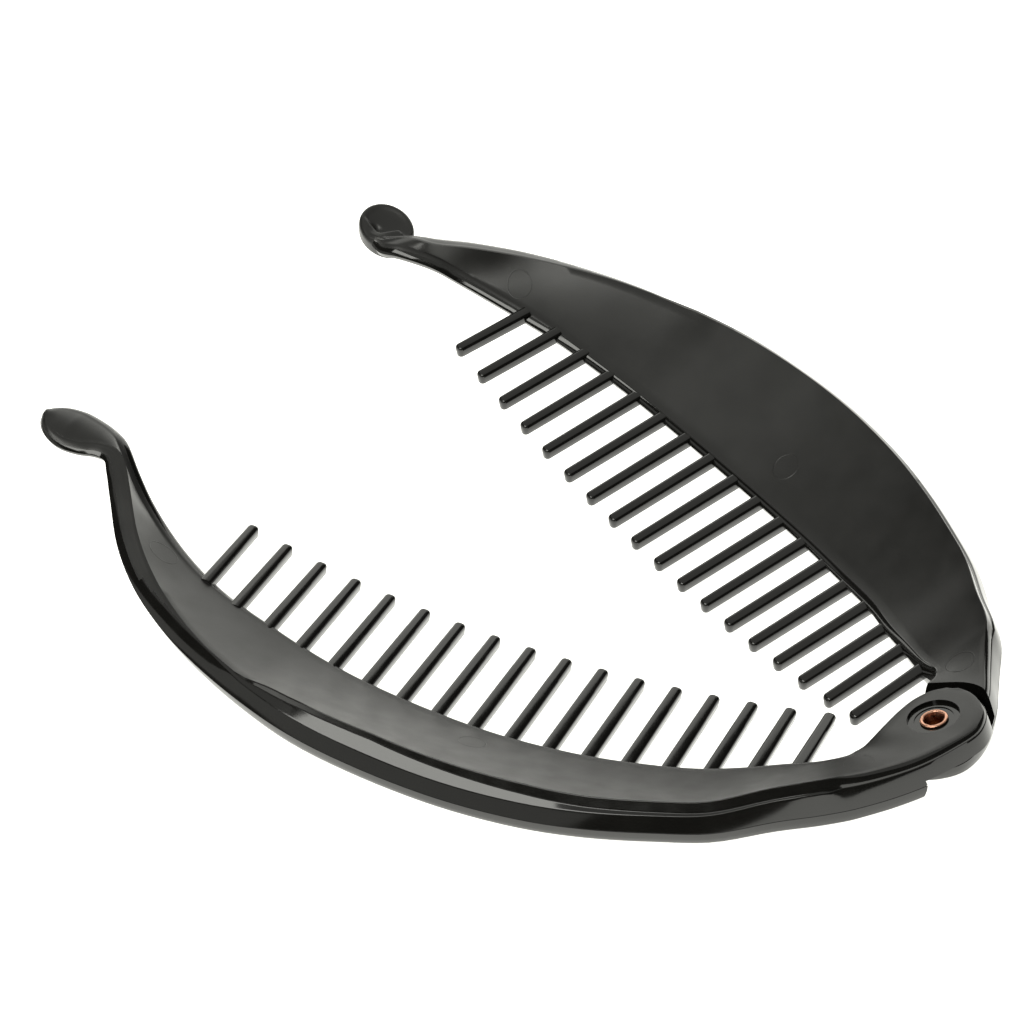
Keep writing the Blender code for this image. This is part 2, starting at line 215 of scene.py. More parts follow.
def bumps(nodes, links, shader, layers):
    """Stack bump layers: (pattern, height in metres, strength)."""
    before = None
    for pattern, height, strength in layers:
        bump = nodes.new("ShaderNodeBump")
        bump.inputs["Distance"].default_value = height
        bump.inputs["Strength"].default_value = strength
        links.new(pattern, bump.inputs["Height"])
        if before:
            links.new(before, bump.inputs["Normal"])
        before = bump.outputs["Normal"]
    links.new(before, shader.inputs["Normal"])


def black_plastic(name, rough_low, rough_high, colour, grain, waver):
    """One finish of the plastic: its roughness, its colour, and how strong both bumps are."""
    made, nodes, links, shader = shader_of(name)
    shader.inputs["IOR"].default_value = 1.53
    shader.inputs["Specular IOR Level"].default_value = 0.5
    broad = noise(nodes, links, 45.0, 3.0)
    patch = noise(nodes, links, 260.0, 4.0)
    fine = noise(nodes, links, 5200.0, 2.0)
    tint = nodes.new("ShaderNodeMix")
    tint.data_type = "RGBA"
    tint.inputs["A"].default_value = (*[c * 0.85 for c in colour], 1.0)
    tint.inputs["B"].default_value = (*[c * 1.15 for c in colour], 1.0)
    links.new(between(nodes, links, patch, 0.0, 1.0), tint.inputs["Factor"])
    links.new(tint.outputs["Result"], shader.inputs["Base Color"])
    links.new(between(nodes, links, patch, rough_low, rough_high), shader.inputs["Roughness"])
    bumps(nodes, links, shader, ((broad, 0.0006, waver), (fine, 0.00001, grain)))
    return made


satin = black_plastic("satin_black_plastic", 0.34, 0.42, (0.0075, 0.0073, 0.0064), 0.35, 0.03)
gloss = black_plastic("polished_black_plastic", 0.07, 0.13, (0.006, 0.0058, 0.005), 0.05, 0.06)
print("plastic finishes:", satin.name, gloss.name)

# %% [markdown]
# ## Copper-coloured metal
# The eyelet is a thin tube of plated steel. Its rolled lip is bright copper, while down the barrel,
# inside the hole, the colour is painted dark brown as the hole's shade. The two meet at a height
# along the hinge axis, so we mix them by the distance below the lip, which object coordinates give us.

# %% Metal material
def copper_metal():
    """Bright copper at the lip that turns dark brown down the barrel, painted shade inside the hole."""
    made, nodes, links, shader = shader_of("copper_plated_metal")
    shader.inputs["Metallic"].default_value = 1.0
    place = nodes.new("ShaderNodeTexCoord")
    depth = nodes.new("ShaderNodeVectorMath")
    depth.operation = "DOT_PRODUCT"
    axis = lie.to_3x3() @ AXIS
    depth.inputs[1].default_value = axis
    links.new(place.outputs["Object"], depth.inputs[0])
    level = LIE_PLACE.dot(axis)
    # Painted shade: from just above the lip down the barrel the colour darkens to brown, as the hole's
    # shade.
    painted_hole_shade = nodes.new("ShaderNodeMapRange")
    painted_hole_shade.inputs["From Min"].default_value = level - 0.9 * MM
    painted_hole_shade.inputs["From Max"].default_value = level + 0.15 * MM
    links.new(depth.outputs["Value"], painted_hole_shade.inputs["Value"])
    tint = nodes.new("ShaderNodeMix")
    tint.data_type = "RGBA"
    # Colour A is the painted shade inside the barrel, colour B the bright copper of the lip.
    tint.inputs["A"].default_value = (0.16, 0.055, 0.018, 1.0)
    tint.inputs["B"].default_value = (0.66, 0.36, 0.25, 1.0)
    links.new(painted_hole_shade.outputs["Result"], tint.inputs["Factor"])
    links.new(tint.outputs["Result"], shader.inputs["Base Color"])
    wear = noise(nodes, links, 1500.0, 5.0)
    links.new(between(nodes, links, wear, 0.22, 0.42), shader.inputs["Roughness"])
    bumps(nodes, links, shader, ((wear, 0.00004, 0.35),))
    return made


copper = copper_metal()
print("metal finish:", copper.name)

# %% [markdown]
# ## The band's two edges
# A half is one long curved band. We draw it as the inner edge, where the teeth stand, and the outer
# edge. Both lists are measured at the same stations, first round the ear at the eyelet, then along
# the comb and the thin arm. A smooth curve through the stations fills in the points between.

# %% Stations of the band
EAR = {
    "front": (
        (0.5, -6.3, 0.6, -1.4, -6.6, 0.0), (2.4, -5.3, 0.6, -3.4, -5.8, 0.0),
        (4.1, -3.3, 0.6, -5.5, -3.8, 0.0), (5.2, -0.7, 0.6, -6.8, -1.3, 0.0),
        (5.9, 1.8, 0.6, -6.9, 1.9, 0.0), (6.5, 3.9, 0.5, -4.9, 5.4, 0.0),
        (7.6, 6.0, -0.1, -1.8, 9.1, -0.1), (8.6, 6.9, -0.4, 1.6, 11.9, -0.1),
        (9.7, 7.6, -0.7, 5.0, 14.6, 0.3),
    ),
    "back": (
        (0.5, -6.3, 0.6, -1.4, -6.8, 0.0), (2.4, -5.3, 0.6, -3.6, -6.0, 0.0),
        (4.1, -3.3, 0.6, -5.6, -4.0, 0.0), (5.2, -0.7, 0.6, -6.6, -1.4, 0.0),
        (5.9, 1.8, 0.6, -6.1, 1.6, 0.0), (6.5, 3.9, 0.5, -4.5, 4.7, 0.0),
        (7.6, 6.0, -0.1, -1.5, 8.2, -0.1), (8.6, 6.9, -0.4, 1.9, 11.2, -0.1),
        (9.7, 7.6, -0.7, 5.2, 14.2, 0.3),
    ),
}
BAND = (
    (12.1, 8.2, -5.4, 8.7, 17.3, -1.6), (16.5, 9.3, -6.9, 14.0, 20.1, -2.9),
    (22.0, 10.7, -8.8, 20.9, 24.1, -4.9), (27.5, 12.2, -10.1, 27.5, 26.6, -5.7),
    (35.8, 13.4, -11.7, 35.8, 29.2, -6.5), (44.0, 14.3, -12.8, 44.0, 31.0, -7.0),
    (55.0, 14.8, -13.7, 55.0, 32.1, -7.3), (66.0, 14.6, -13.8, 66.0, 31.8, -7.4),
    (77.0, 13.9, -13.3, 77.5, 30.2, -7.4), (85.3, 12.9, -12.4, 86.9, 27.5, -7.1),
    (93.5, 11.4, -11.2, 96.3, 23.9, -6.5), (99.0, 10.2, -10.3, 102.3, 20.9, -5.9),
    (104.5, 8.5, -9.1, 108.2, 17.1, -5.0), (110.0, 6.3, -7.3, 113.3, 12.5, -3.5),
    (115.5, 3.5, -4.7, 117.7, 7.1, -1.5), (119.0, 1.2, -2.5, 120.5, 3.7, -0.6),
)
TIP = {
    "front": (
        (122.6, -1.7, -0.8, 122.6, 2.2, -0.35), (125.2, -3.0, -0.75, 125.0, 2.2, -0.6),
        (127.6, -3.6, -0.75, 127.4, 3.2, -0.75), (130.0, -3.7, -0.6, 130.0, 3.75, -0.65),
        (132.0, -3.2, -0.25, 132.0, 3.3, -0.25), (133.4, -2.3, 0.05, 133.4, 2.4, 0.05),
        (134.3, -1.2, 0.3, 134.3, 1.3, 0.3), (134.6, -0.5, 0.4, 134.6, 0.5, 0.4),
    ),
    "back": (
        (123.2, -2.0, -0.8, 123.6, 2.3, -0.6), (126.0, -3.4, -0.9, 126.0, 0.9, -0.7),
        (127.9, -3.5, -0.5, 127.7, -1.6, -0.4),
    ),
}
STEPS = 5
# Towards the tip the front arm rises and the back arm sinks, so that one lies over the other.
LIFT_FROM, LIFT_FULL, LIFT_CURVE, LIFT = 99.0, 129.8, 1.8, {"front": 2.15, "back": -2.15}


def smooth_curve(rows, per_row):
    """Points on a smooth curve through every row, with per_row steps between two rows."""
    rows = np.array(rows, float)
    knots = np.concatenate([[0.0], np.cumsum(np.linalg.norm(np.diff(rows, axis=0), axis=1) ** 0.5)])
    slopes = np.gradient(rows, knots, axis=0, edge_order=1)
    points = []
    for i in range(len(rows) - 1):
        span = knots[i + 1] - knots[i]
        for t in np.arange(per_row) / per_row:
            points.append((2 * t**3 - 3 * t**2 + 1) * rows[i] + (t**3 - 2 * t**2 + t) * span * slopes[i]
                          + (3 * t**2 - 2 * t**3) * rows[i + 1] + (t**3 - t**2) * span * slopes[i + 1])
    points.append(rows[-1])
    return np.array(points)


def from_axis(e, v, c):
    """A point given across the hinge axis, as (u, v, z)."""
    place = ACROSS * e + AXIS * c
    return (place.x, v, place.z)


def band_edges(half):
    """The inner and the outer edge of a half, point by point from the ear to the tip."""
    rows = [from_axis(*row[:3]) + from_axis(*row[3:]) for row in EAR[half]]
    points = smooth_curve(rows + list(BAND) + list(TIP[half]), STEPS)
    for row in points:
        for k in (0, 3):
            share = min(max(row[k] - LIFT_FROM, 0.0) / (LIFT_FULL - LIFT_FROM), 1.0)
            row[k + 2] += LIFT[half] * share ** LIFT_CURVE
    return points[:, :3], points[:, 3:]


print("stations of the front half:", len(band_edges("front")[0]))

# %% [markdown]
# ## The band's section
# Cut across, the band is a thick strip with two walls. From the inside it goes up the inner wall,
# over a rounded corner, across the satin face, which is dished a little, down a slanted riser to a
# polished ledge, and over a crisp lip to the outer wall. A hair-thin line round both walls shows
# where the two halves of the mould met. The ledge narrows to nothing on the arm, and near the ear
# it turns into a soft shoulder. Tables give each of these measures in millimetres along the band,
# and every group of tables has its own list of the places where it changes.

# %% Section tables
WALL_AT = (0.0, 6.0, 9.0, 12.0, 16.5, 24.0, 60.0, 77.0, 88.0, 99.0, 110.0, 119.0, 124.0, 128.0, 134.0)
INNER_WALL = (5.4, 5.4, 4.6, 3.8, 2.8, 2.1, 1.9, 1.9, 1.9, 1.9, 2.0, 2.1, 2.1, 1.9, 1.7)
OUTER_WALL = (4.8, 4.8, 5.2, 5.35, 4.85, 4.35, 3.9, 4.15, 4.1, 3.75, 2.9, 2.1, 1.9, 1.9, 1.7)
OUTER_LEAN = (0.2, 0.2, 0.5, 0.85, 1.2, 1.4, 1.4, 1.45, 1.5, 1.55, 1.85, 1.6, 0.8, 0.4, 0.2)
FOOT_TUCK = (0.4, 0.4, 0.35, 0.3, 0.3, 0.3, 0.2, 0.3, 0.4, 0.5, 0.6, 0.5, 0.3, 0.3, 0.3)
WIDEST_AT, WIDEST = (12.0, 24.0, 77.0, 99.0), (0.56, 0.49, 0.49, 0.56)
# The step: how high, how wide, 0 for a soft shoulder or 1 for a crisp step, and the riser's share
# of the height. The rest of the height is the fall of the ledge.
STEP_AT = (6.0, 7.5, 9.0, 10.2, 11.4, 16.5, 27.5, 36.0, 44.0,
           55.0, 66.0, 71.5, 77.0, 81.5, 85.3, 86.8, 91.0)
STEP_HEIGHT = (0.6, 0.8, 1.1, 1.3, 1.4, 1.43, 1.45, 1.6, 2.0,
               2.13, 2.13, 1.92, 1.65, 1.2, 0.38, 0.05, 0.03)
STEP_WIDTH = (0.6, 0.9, 0.9, 0.8, 0.5, 0.5, 0.65, 0.8, 1.08,
              1.3, 1.48, 1.41, 1.3, 1.0, 0.32, 0.05, 0.05)
STEP_SHARP = (0.0, 0.0, 0.0, 0.0, 1.0, 1.0, 1.0, 1.0, 1.0,
              1.0, 1.0, 1.0, 1.0, 1.0, 1.0, 0.7, 0.0)
RISER = (0.94, 0.94, 0.94, 0.94, 0.94, 0.94, 0.94, 0.84, 0.65,
         0.5, 0.35, 0.41, 0.51, 0.71, 0.75, 0.75, 0.75)
DISH_AT = (8.0, 24.0, 104.0, 118.0, 124.0, 130.0, 134.6)
DISH = {"front": (0.0, 0.35, 0.35, 0.1, -0.15, -0.5, -0.1),
        "back": (0.0, 0.35, 0.35, 0.1, 0.0, 0.0, 0.0)}
ROUND_AT = (92.0, 104.0, 118.0, 127.0, 134.6)
ROUND = (0.35, 1.1, 1.2, 1.0, 0.8)
RIM_AT, RIM = (84.0, 92.0, 104.0, 118.0), (0.15, 0.4, 1.1, 1.3)
ROUND_LIMIT, STEP_CLEAR = 0.35, 0.06
RISER_SLANT = math.tan(math.radians(22.0))
LIP_OUT, LIP_DROP = 0.35, 0.1
FACE_PARTS = 10
# Towards the arm the satin runs on over the rounded edges, by this many points of the ring on
# the inner side and on the outer side.
ARM_AT, ARM_SPREAD = (87.0, 90.0, 104.0), ((0, 0, 5), (0, 10, 16))
print("the step is", max(STEP_HEIGHT), "mm high at most and", max(STEP_WIDTH), "mm wide")

# %% [markdown]
# ## Corners and runs
# A moulded edge is never quite sharp. The soft side of the band is drawn with a bulging wall and a
# round rim. Every crisp corner of the step gets a small rounding, and one point close beside it on
# either run, so that smooth shading leaves the run itself flat and it mirrors the room as a plate.

# %% Walls, corners and the crisp step
BULGE = ((0.821, 0.709), (0.591, 0.442), (0.315, 0.204), (0.14, 0.086))
RIM_TURNS = (35.0, 26.0, 17.0, 8.0, 0.0)
EDGE_ROUND, HOLLOW_ROUND, BROW_ROUND, CORNER_LIMIT = 0.1, 0.08, 0.12, 0.4
WALL_POINTS, WALL_BOW = (0.07, 0.35, 0.65, 0.9), 0.12
AVERAGED_OVER = (-1.8, -0.9, 0.0, 0.9, 1.8)


def at(u, where, values):
    """A table's value at u, averaged a little so that no corner shows in a reflection."""
    return float(np.mean([np.interp(u + d, where, values) for d in AVERAGED_OVER]))


def bulge(edge, out, down, soft, lean, drop):
    """The upper half of a wall, from below its widest line up over the rounded rim."""
    rim_out, rim_drop = -0.43 * soft, 0.18 * soft
    points = [edge + out * (rim_out + (lean - rim_out) * a) + down * (rim_drop + (drop - rim_drop) * b)
              for a, b in BULGE]
    for a in RIM_TURNS:
        turn = math.radians(a)
        points.append(edge - out * soft * (1.0 - math.sin(turn)) + down * soft * (1.0 - math.cos(turn)))
    return points


def rounded(before, tip, after, reach, count):
    """Points round a corner of the section, from just before its tip to just after it."""
    start = tip + (before - tip) * min(CORNER_LIMIT, reach / np.linalg.norm(before - tip))
    end = tip + (after - tip) * min(CORNER_LIMIT, reach / np.linalg.norm(after - tip))
    return [start * (1.0 - t) ** 2 + tip * 2.0 * t * (1.0 - t) + end * t ** 2
            for t in np.linspace(0.0, 1.0, count)]


def near_ends(a, b):
    """A point near each end of a straight run, so that the run between them mirrors as flat."""
    return [a * 0.93 + b * 0.07, a * 0.07 + b * 0.93]


def crisp_step(wide, high, riser, low):
    """Riser, ledge, lip and wall as points (out, down) from the rim, ending above the widest line."""
    top = np.array((-wide, -high))
    foot = top + np.array((RISER_SLANT, 1.0)) * riser * high
    lip = np.array((LIP_OUT, LIP_DROP))
    edge = rounded(top - np.array((1.0, 0.0)), top, foot, EDGE_ROUND, 3)
    hollow = rounded(top, foot, lip, HOLLOW_ROUND, 3)
    brow = rounded(foot, lip, low, BROW_ROUND, 5)
    points = edge + near_ends(edge[-1], hollow[0])
    points += hollow + near_ends(hollow[-1], brow[0]) + brow
    for t in WALL_POINTS:
        points.append(brow[-1] + (low - brow[-1]) * t + np.array((WALL_BOW * t * (1.0 - t), 0.0)))
    return points


CRISP_COUNT = len(crisp_step(1.3, 2.1, 0.5, np.array((1.4, 2.0))))
print("points from the face over the step to the wall:", CRISP_COUNT)

# %% [markdown]
# ## The closed ring
# One ring of points is one cut through the band. It always has the same number of points, so the
# rings can be joined one to the next. The step's points slide from the soft shoulder to the crisp
# step by the table above. We also note which points belong to the satin face.

# %% One ring
INNER_SIDE = ((-0.5, 1.0), (-0.1, 0.985), (0.15, 0.94), (0.28, 0.86), (0.5, 0.5),
              (0.43, 0.49), (0.43, 0.47), (0.5, 0.46))
UNDERSIDE = (0.75, 0.5, 0.25)


def ring(inner, outer, inner_out, outer_out, down, half):
    """The closed outline of the band at one station, and which part of it is satin."""
    u = inner[0]
    wall_in, wall_out = at(u, WALL_AT, INNER_WALL), at(u, WALL_AT, OUTER_WALL)
    lean = at(u, WALL_AT, OUTER_LEAN)
    foot = lean - at(u, WALL_AT, FOOT_TUCK)
    step_tables = (STEP_HEIGHT, STEP_WIDTH, STEP_SHARP, RISER)
    high, wide, sharp, riser = (np.interp(u, STEP_AT, table) for table in step_tables)
    soft = min(np.interp(u, ROUND_AT, ROUND), ROUND_LIMIT * np.linalg.norm(outer - inner))
    rim = min(np.interp(u, RIM_AT, RIM), soft)
    wide = max(wide, rim + STEP_CLEAR)
    points = []
    for out, drop in INNER_SIDE:
        points.append(inner + inner_out * out + down * drop * wall_in)
    points += bulge(inner, inner_out, down, soft, INNER_SIDE[-1][0], INNER_SIDE[-1][1] * wall_in)
    first_satin = len(points) - 1
    start = points[-1]
    end = outer - outer_out * wide - down * high
    dish = np.interp(u, DISH_AT, DISH[half])
    for k in range(1, FACE_PARTS):
        share = k / FACE_PARTS
        points.append(start + (end - start) * share + down * dish * 4.0 * share * (1.0 - share))
    last_satin = len(points)
    widest = np.interp(u, WIDEST_AT, WIDEST)
    low = np.array((lean, (widest - 0.01) * wall_out))
    soft_side = []
    for k in range(10):
        turn = math.radians(90.0 * k / 9)
        inset = rim + (wide - rim) * (1.0 - math.sin(turn))
        soft_side.append(outer - outer_out * inset - down * high * math.cos(turn))
    soft_side += reversed(bulge(outer, outer_out, down, rim, lean, low[1]))
    for smooth, (out, drop) in zip(soft_side, crisp_step(wide, high, riser, low)):
        crisp = outer + outer_out * out + down * drop
        points.append(smooth + (crisp - smooth) * sharp)
    for out, drop in ((lean, widest - 0.01), (lean - 0.07, widest), (lean - 0.07, widest + 0.015),
                      (lean, widest + 0.025), (0.5 * (lean + foot) + 0.05, 0.74), (foot, 0.91),
                      (foot - 0.1, 0.955), (foot - 0.3, 0.985), (foot - 0.7, 1.0)):
        points.append(outer + outer_out * out + down * drop * wall_out)
    first, last = points[0], points[-1]
    for share in UNDERSIDE:
        points.append(first + (last - first) * share)
    return points, first_satin, last_satin


sample = ring(np.array((55.0, 14.8, -13.7)), np.array((55.0, 32.1, -7.3)), np.array((0, -1.0, 0)),
              np.array((0, 1.0, 0)), np.array((0, 0, -1.0)), "front")
RING_COUNT, FIRST_SATIN, LAST_SATIN = len(sample[0]), sample[1], sample[2]
print("points in one ring:", RING_COUNT)

# %% [markdown]
# ## Wrapping a grid round the section
# A band like this could be lofted by a curve with a bevel, but its section changes all the way.
# Instead we take a flat grid with one column for each point of the ring and one row for each
# station, and put every point at its place, like a sheet bent round until its long edges meet. The
# doubled points along the seam are merged and the two open ends are filled.

# %% Build the bands
UPRIGHT_FROM, UPRIGHT_OVER = 10.0, 14.0


def outward(edge, sign):
    """The direction that points out of the band at each point of an edge, seen from above."""
    tangent = np.gradient(edge[:, :2], axis=0)
    tangent /= np.linalg.norm(tangent, axis=1)[:, None]
    return np.stack([sign * tangent[:, 1], -sign * tangent[:, 0], np.zeros(len(edge))], axis=1)


def band(half):
    """The band of a half. At the ear its walls follow the hinge axis, further on they stand upright."""
    inner, outer = band_edges(half)
    inner_out, outer_out = outward(inner, 1.0), outward(outer, -1.0)
    points = []
    for i in range(len(inner)):
        share = min(1.0, max(0.0, (inner[i][0] - UPRIGHT_FROM) / UPRIGHT_OVER))
        down = -np.array(AXIS.lerp(Vector((0.0, 0.0, 1.0)), share).normalized())
        loop = ring(inner[i], outer[i], inner_out[i], outer_out[i], down, half)[0]
        points += loop + [loop[0]]
    clear_selection()
    bpy.ops.mesh.primitive_grid_add(x_subdivisions=RING_COUNT, y_subdivisions=len(inner) - 1, size=0.1)
    piece = started(half + "_comb_band")
    place_points(piece, points)
    piece.data.materials.append(satin)
    piece.data.materials.append(gloss)
    for face in piece.data.polygons:
        column = min(v % (RING_COUNT + 1) for v in face.vertices)
        row = min(v // (RING_COUNT + 1) for v in face.vertices)
        inner_spread, outer_spread = (np.interp(inner[row][0], ARM_AT, spread) for spread in ARM_SPREAD)
        satin_here = FIRST_SATIN - inner_spread <= column <= LAST_SATIN + outer_spread
        face.material_index = 0 if satin_here else 1
    close_up(piece, distance=MERGE_FINE, fill=True)
    return piece, inner


bands, inner_edges = {}, {}
for half in SIDE:
    bands[half], inner_edges[half] = band(half)
    print(half, "band has", len(bands[half].data.polygons), "faces")

# %% [markdown]
# ## The lapped ears
# At the eyelet the front ear lies over the back one like the two parts of a lap joint. The lower
# part of the front ear and the upper part of the back ear are turned away in a round pocket about
# the hinge axis, and both ears are bored. A stepped round recess takes the eyelet's lip. Cylinders
# stood on the hinge axis cut these, and they carry the polished finish, so the cut walls get it.

# %% Cut the ears
def drum(radius, low, high, sides=96):
    """A cutting cylinder about the hinge axis, between two heights along it."""
    clear_selection()
    bpy.ops.mesh.primitive_cylinder_add(vertices=sides, radius=radius * MM, depth=(high - low) * MM,
                                        location=(0, 0, 0))
    tool = started("cutter")
    middle = Matrix.Translation((0, 0, (low + high) / 2 * MM))
    tool.data.transform(Matrix.Rotation(AXIS_LEAN, 4, "Y") @ middle)
    tool.data.materials.append(satin)
    tool.data.materials.append(gloss)
    for face in tool.data.polygons:
        face.material_index = 1
    return tool


# Each cutter is given as its radius and the two heights between which it stands.
LAP = {"front": (9.6, -12.0, -2.3), "back": (7.8, -2.6, 9.0)}
RECESS = {"front": ((3.5, 0.12, 9.0), (2.65, 0.0, 9.0)),
          "back": ((3.5, -9.0, -4.32), (2.65, -9.0, -4.2))}
BORE = (1.6, -9.0, 9.0)
for half in SIDE:
    carve(bands[half], drum(*LAP[half]))
    for cut in RECESS[half]:
        carve(bands[half], drum(*cut, sides=64))
    carve(bands[half], drum(*BORE, sides=48))
    print(half, "ear cut, faces now", len(bands[half].data.polygons))

# %% [markdown]
# ## One tooth, copied
# All teeth are alike but for their length and slope. We shape one from a cube: it is stretched,
# its free end is rounded in plan, its top is rounded over and its lower side is drawn in, as a
# mould needs to let go.

# %% Model one tooth
TOOTH_LONG, TOOTH_WIDE, TOOTH_HIGH = 18.0, 1.8, 1.9
LOWER_SHARE, END_ROUND, TOP_ROUND, LOW_ROUND = 0.8, 0.38, 0.6, 0.18


def is_upright(edge):
    """True for an edge that stands up rather than lies round the shape."""
    return abs(edge.verts[0].co.z - edge.verts[1].co.z) > 0.5 * TOOTH_HIGH * MM


def lies_at(edge, height):
    """True for an edge at this height round the tooth, but not for the one at its root."""
    level = all(abs(v.co.z - height * MM) < 0.01 * MM for v in edge.verts)
    return level and not all(v.co.y > -0.01 * MM for v in edge.verts)


def first_tooth():
    """A tooth that points along -Y, its root at y 0, the middle of its top at z 0."""
    clear_selection()
    bpy.ops.mesh.primitive_cube_add(size=1.0, location=(0, 0, 0))
    tooth = started("tooth")
    tooth.data.transform(Matrix.Diagonal((TOOTH_WIDE * MM, TOOTH_LONG * MM, TOOTH_HIGH * MM, 1.0)))
    tooth.data.transform(Matrix.Translation((0, -TOOTH_LONG / 2 * MM, -TOOTH_HIGH / 2 * MM)))
    for vert in tooth.data.vertices:
        if vert.co.z < -TOOTH_HIGH * 0.5 * MM:
            vert.co.x *= LOWER_SHARE
    bpy.ops.object.mode_set(mode="EDIT")
    pick(tooth, "EDGE", lambda e: is_upright(e) and e.verts[0].co.y < -TOOTH_LONG * 0.5 * MM)
    bpy.ops.mesh.bevel(offset=TOOTH_WIDE * END_ROUND * MM, segments=6)
    pick(tooth, "EDGE", lambda e: lies_at(e, 0.0))
    bpy.ops.mesh.bevel(offset=TOP_ROUND * MM, segments=5)
    pick(tooth, "EDGE", lambda e: lies_at(e, -TOOTH_HIGH))
    bpy.ops.mesh.bevel(offset=LOW_ROUND * MM, segments=2)
    bpy.ops.mesh.select_mode(type="VERT")
    bpy.ops.object.mode_set(mode="OBJECT")
    return tooth


pattern_tooth = first_tooth()
print("one tooth has", len(pattern_tooth.data.polygons), "faces")

# %% [markdown]
# ## The rows of teeth
# The teeth stand one pitch apart along the inner edge. Each copy has its own mesh, which is
# stretched from its root, sunk a little into the band, to its tip. The tips of the whole row
# follow one smooth curve, as the line of the comb does. The copies of a row are then joined.

# %% Copy it along the band
TEETH = {"front": (17, 102.9), "back": (18, 105.5)}
TOOTH_PITCH, TIP_V, ROOT_WIDE, ROOT_SUNK = 5.5, -4.0, 2.1, 0.9
TIP_CURVE = np.polyfit((14.0, 37.0, 59.0, 81.0, 105.6), (-8.0, -12.9, -14.7, -13.7, -8.6), 4)
DROP_AT, DROP = (12.0, 30.0, 66.0, 90.0, 106.0), (1.0, 0.7, 0.05, 0.0, -0.3)


def tooth_row(half):
    """Copies of the pattern tooth, each stretched between its root and its tip, joined in one piece."""
    inner = inner_edges[half]
    order = np.argsort(inner[:, 0])
    count, first_u = TEETH[half]
    copies = []
    for i in range(count):
        u = first_u - i * TOOTH_PITCH
        root_v = np.interp(u, inner[order, 0], inner[order, 1]) + ROOT_SUNK
        root_z = np.interp(u, inner[order, 0], inner[order, 2]) - np.interp(u, DROP_AT, DROP)
        tip_z = np.polyval(TIP_CURVE, u)
        copy = pattern_tooth.copy()
        copy.data = pattern_tooth.data.copy()
        bpy.context.scene.collection.objects.link(copy)
        for vert in copy.data.vertices:
            x, y, z = vert.co / MM
            near_tip = y < -TOOTH_LONG * 0.5
            along = root_v - TIP_V
            new_y = TIP_V + (y + TOOTH_LONG) if near_tip else root_v + y
            share = (new_y - TIP_V) / along
            wide = 1.0 + (ROOT_WIDE / TOOTH_WIDE - 1.0) * share
            vert.co = Vector((u + x * wide, new_y, tip_z + (root_z - tip_z) * share + z)) * MM
        copies.append(copy)
    clear_selection()
    for copy in copies:
        copy.select_set(True)
    bpy.context.view_layer.objects.active = copies[0]
    bpy.ops.object.join()
    row = started(half + "_teeth")
    row.data.materials.clear()
    row.data.materials.append(gloss)
    return row


for half in SIDE:
    settle(tooth_row(half), half)
bpy.data.objects.remove(pattern_tooth, do_unlink=True)

# %% [markdown]
# ## Marks of the ejector pins
# Where pins pushed the warm part out of the mould, each face keeps three faint rings. We press a
# thin ring of round wire onto the face so that only its crown shows. A ray from above finds the
# height of the face under each point of the ring, so it follows the dish.

# %% Press the rings on
PIN_MARKS = ((109.2, 10.4), (56.3, 20.1), (6.4, 9.9))
MARK_RADIUS, MARK_WIRE, MARK_SUNK = 1.85, 0.13, 0.1
RAY_START = 0.05


def pin_mark(half, number, u, v):
    """One ring on the face of a half, round the place u, v."""
    clear_selection()
    bpy.ops.mesh.primitive_torus_add(major_segments=48, minor_segments=8, major_radius=MARK_RADIUS * MM,
                                     minor_radius=MARK_WIRE * MM, location=(0, 0, 0))
    mark = started("%s_pin_mark_%d" % (half, number))
    for vert in mark.data.vertices:
        x, y = u * MM + vert.co.x, v * MM + vert.co.y
        hit, place, _, _ = bands[half].ray_cast(Vector((x, y, RAY_START)), Vector((0, 0, -1)))
        vert.co = Vector((x, y, (place.z if hit else 0.0) + vert.co.z - MARK_SUNK * MM))
    mark.data.materials.append(satin)
    return mark


for half in SIDE:
    for number, (u, v) in enumerate(PIN_MARKS):
        settle(pin_mark(half, number, u, v), half)

# %% [markdown]
# ## The finger tabs
# The front arm swells into a smooth round tab, which is part of its band already. The back arm
# ends as a ridge on top of a round thumb rest. That rest is a short cylinder with a rolled rim. Its
# top face is extruded in place and scaled, over and over, which divides it into rings, and the
# rings are then moved up or down: up where the arm and its ridge run out over the rest, down in a
# shallow bowl, and deepest in a small pit beside the end of the arm.

# %% Model the thumb rest of the back half
REST_PLACE, REST_SIZE, REST_TILT = (129.8, -0.1, -4.0), (9.7, 8.0, 2.7), 13.0
REST_ROLL, REST_RINGS = 0.6, 20


def eased(share):
    """Rises smoothly from 0 to 1 while the share does."""
    share = min(max(share, 0.0), 1.0)
    return share * share * (3.0 - 2.0 * share)


def rest_relief(x, y):
    """How far the rest's top stands up or is sunk, at x along the arm and y across it."""
    out = math.hypot(x / (REST_SIZE[0] / 2), y / (REST_SIZE[1] / 2))
    beside = eased((-1.55 - y) / 0.55)
    under_arm = eased((-1.2 - 0.5 * y - x) / 0.8) * eased((1.4 - y) / 0.7)
    raised = 1.0 - (1.0 - beside) * (1.0 - under_arm)
    ridge = 0.2 + 0.66 * eased((0.8 - x) / 3.0)
    bowl = 0.6 * max(0.0, 1.0 - (out / 0.9) ** 2)
    pit = 0.4 * math.exp(-(((x - 0.6) / 1.0) ** 2 + ((y + 1.2) / 0.5) ** 2))
    return eased((1.0 - out) / 0.3) * (raised * ridge - (1.0 - raised) * (bowl + pit))


